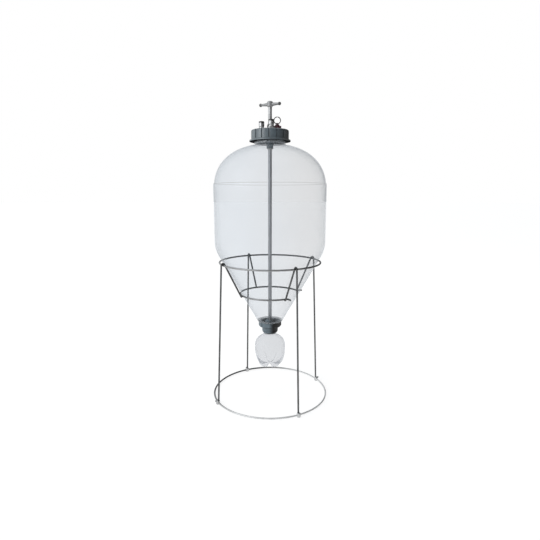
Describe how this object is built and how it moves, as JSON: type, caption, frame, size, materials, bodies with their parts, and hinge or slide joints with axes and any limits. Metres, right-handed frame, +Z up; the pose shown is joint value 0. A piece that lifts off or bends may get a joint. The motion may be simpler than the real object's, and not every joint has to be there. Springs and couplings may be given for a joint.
{
  "type": "conical fermenter",
  "caption": "Clear conical pressure fermenter in a wire stand, with a screw lid, ball-lock posts, relief valve, T-handle rod valve and a small collection bottle under the cone.",
  "frame": {"origin": "centre of the base ring at floor level", "axes": "+Z up along the vessel's axis, -Y towards the front, +X to the right seen from the front"},
  "size_m": [0.378, 0.378, 0.935],
  "materials": {
    "stand_wire": "dull drawn stainless wire",
    "bright_steel": "turned and polished stainless",
    "spring_steel": "drawn spring wire",
    "rod_steel": "satin ground bar",
    "clear_pet": "clear blown polyester, glossy",
    "bottle_pet": "clear blown polyester, glossy",
    "lid_plastic": "moulded, fine satin grain",
    "cap_plastic": "moulded, fine satin grain",
    "gland_plastic": "moulded, satin",
    "bush_plastic": "natural low-friction plastic",
    "seal_rubber": "matt",
    "relief_red": "dark red, satin"
  },
  "bodies": {
    "stand": {"base_ring": "stand_wire", "top_ring": "stand_wire", "cradle_ring": "stand_wire", "leg_back_right": "stand_wire", "leg_back_left": "stand_wire", "leg_front_left": "stand_wire", "leg_front_right": "stand_wire", "foot_screws": "bright_steel"},
    "vessel": {"vessel": "clear_pet"},
    "lid_seal": {"lid_seal": "seal_rubber"},
    "lid": {"lid_plate": "lid_plastic", "rod_bush": "bush_plastic", "gland_seals": "seal_rubber", "gland_nut": "gland_plastic", "gas_post": "bright_steel", "liquid_post": "bright_steel", "gas_poppet_spring": "spring_steel", "liquid_poppet_spring": "spring_steel", "post_base_seals": "seal_rubber", "post_top_seals": "seal_rubber", "port_nuts": "bright_steel", "relief_body": "relief_red", "relief_spring": "spring_steel", "relief_base_seal": "seal_rubber"},
    "lid_collar": {"lid_collar": "lid_plastic"},
    "gas_poppet": {"gas_poppet": "bright_steel"},
    "liquid_poppet": {"liquid_poppet": "bright_steel"},
    "relief_stem": {"relief_stem": "relief_red", "relief_seal": "seal_rubber"},
    "relief_ring": {"relief_ring": "bright_steel"},
    "valve_plug": {"valve_plug": "cap_plastic", "plug_seal": "seal_rubber"},
    "valve_rod": {"valve_rod": "rod_steel", "handle_hub": "bright_steel", "handle_bar": "bright_steel", "handle_screw": "bright_steel", "plug_clip": "bright_steel"},
    "bottom_gasket": {"bottom_gasket": "seal_rubber"},
    "bottom_cap": {"bottom_cap": "cap_plastic", "valve_seat": "bush_plastic", "bottle_adapter": "cap_plastic"},
    "bottle_gasket": {"bottle_gasket": "seal_rubber"},
    "collection_bottle": {"collection_bottle": "bottle_pet"}
  },
  "joints": [
    {"name": "vessel_lift_out", "type": "slide", "parent": "stand", "child": "vessel", "axis": [0, 0, 1], "range_m": [0, 0.36]},
    {"name": "lid_lift_off", "type": "slide", "parent": "vessel", "child": "lid", "axis": [0, 0, 1], "range_m": [0, 0.62]},
    {"name": "lid_unscrew", "type": "hinge", "parent": "lid", "child": "lid_seal", "pos_m": [0, 0, 0.833], "axis": [0, 0, 1], "range_deg": [0, 720]},
    {"name": "collar_rise", "type": "slide", "parent": "lid_seal", "child": "lid_collar", "axis": [0, 0, 1], "range_m": [0, 0.012]},
    {"name": "gas_poppet_press", "type": "slide", "parent": "lid", "child": "gas_poppet", "axis": [0, 0, -1], "range_m": [0, 0.003], "stiffness_N_per_m": 400, "springref_m": -0.005, "deforming": ["gas_poppet_spring"]},
    {"name": "liquid_poppet_press", "type": "slide", "parent": "lid", "child": "liquid_poppet", "axis": [0, 0, -1], "range_m": [0, 0.003], "stiffness_N_per_m": 400, "springref_m": -0.005, "deforming": ["liquid_poppet_spring"]},
    {"name": "relief_pull", "type": "slide", "parent": "lid", "child": "relief_stem", "axis": [0, 0, 1], "range_m": [0, 0.004], "stiffness_N_per_m": 1500, "springref_m": -0.004, "deforming": ["relief_spring"]},
    {"name": "relief_ring_swing", "type": "hinge", "parent": "relief_stem", "child": "relief_ring", "pos_m": [0.02215, 0.01712, 0.8718], "axis": [1, 0, 0], "range_deg": [-90, 90]},
    {"name": "valve_lift", "type": "slide", "parent": "lid", "child": "valve_plug", "axis": [0, 0, 1], "range_m": [0, 0.015]},
    {"name": "handle_turn", "type": "hinge", "parent": "valve_plug", "child": "valve_rod", "pos_m": [0, 0, 0.925], "axis": [0, 0, 1], "range_deg": [0, 1080]},
    {"name": "cap_drop", "type": "slide", "parent": "vessel", "child": "bottom_gasket", "axis": [0, 0, -1], "range_m": [0, 0.01]},
    {"name": "cap_unscrew", "type": "hinge", "parent": "bottom_gasket", "child": "bottom_cap", "pos_m": [0, 0, 0.24], "axis": [0, 0, -1], "range_deg": [0, 720]},
    {"name": "bottle_drop", "type": "slide", "parent": "bottom_cap", "child": "bottle_gasket", "axis": [0, 0, -1], "range_m": [0, 0.0054]},
    {"name": "bottle_unscrew", "type": "hinge", "parent": "bottle_gasket", "child": "collection_bottle", "pos_m": [0, 0, 0.15], "axis": [0, 0, -1], "range_deg": [0, 720]}
  ],
  "couplings": [
    {"joint": "lid_unscrew", "follows": "collar_rise", "rad_per_m": 1047.2},
    {"joint": "handle_turn", "follows": "valve_lift", "rad_per_m": 1256.6},
    {"joint": "cap_unscrew", "follows": "cap_drop", "rad_per_m": 1256.6},
    {"joint": "bottle_unscrew", "follows": "bottle_drop", "rad_per_m": 2327.1}
  ]
}
